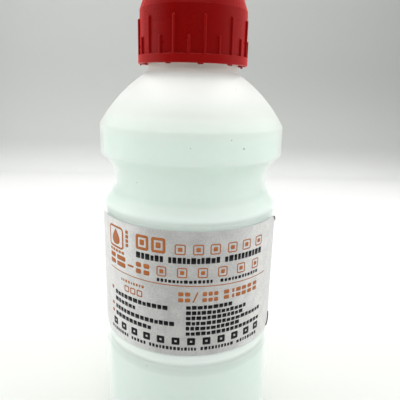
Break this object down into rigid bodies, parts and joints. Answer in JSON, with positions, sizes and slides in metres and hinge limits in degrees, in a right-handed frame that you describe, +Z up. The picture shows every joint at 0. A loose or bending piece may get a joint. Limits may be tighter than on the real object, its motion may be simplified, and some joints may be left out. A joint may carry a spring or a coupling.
{
  "type": "photo chemical bottle",
  "caption": "Waisted translucent blow-moulded bottle for liquid photo chemicals, with a ribbed screw cap, a sealing liner, a wrap label and its liquid contents.",
  "frame": {"origin": "centre of the standing ring, on the surface that the bottle stands on", "axes": "+Z up along the bottle's axis, out through the cap; -Y out of the front of the label"},
  "size_m": [0.072, 0.072, 0.1835],
  "materials": {
    "bottle_wall": "satin",
    "cap": "satin",
    "cap_liner": "matte",
    "label": "satin",
    "liquid": "gloss"
  },
  "bodies": {
    "bottle": {"bottle": "bottle_wall", "label": "label", "liquid": "liquid"},
    "liner": {"cap_liner": "cap_liner"},
    "cap": {"cap": "cap"}
  },
  "joints": [
    {"name": "cap_rise", "type": "slide", "parent": "bottle", "child": "liner", "axis": [0, 0, 1], "range_m": [0, 0.0252]},
    {"name": "cap_turn", "type": "hinge", "parent": "liner", "child": "cap", "pos_m": [0, 0, 0.1585], "axis": [0, 0, 1], "range_deg": [0, 2160.5]}
  ],
  "couplings": [
    {"joint": "cap_turn", "follows": "cap_rise", "rad_per_m": 1496}
  ]
}
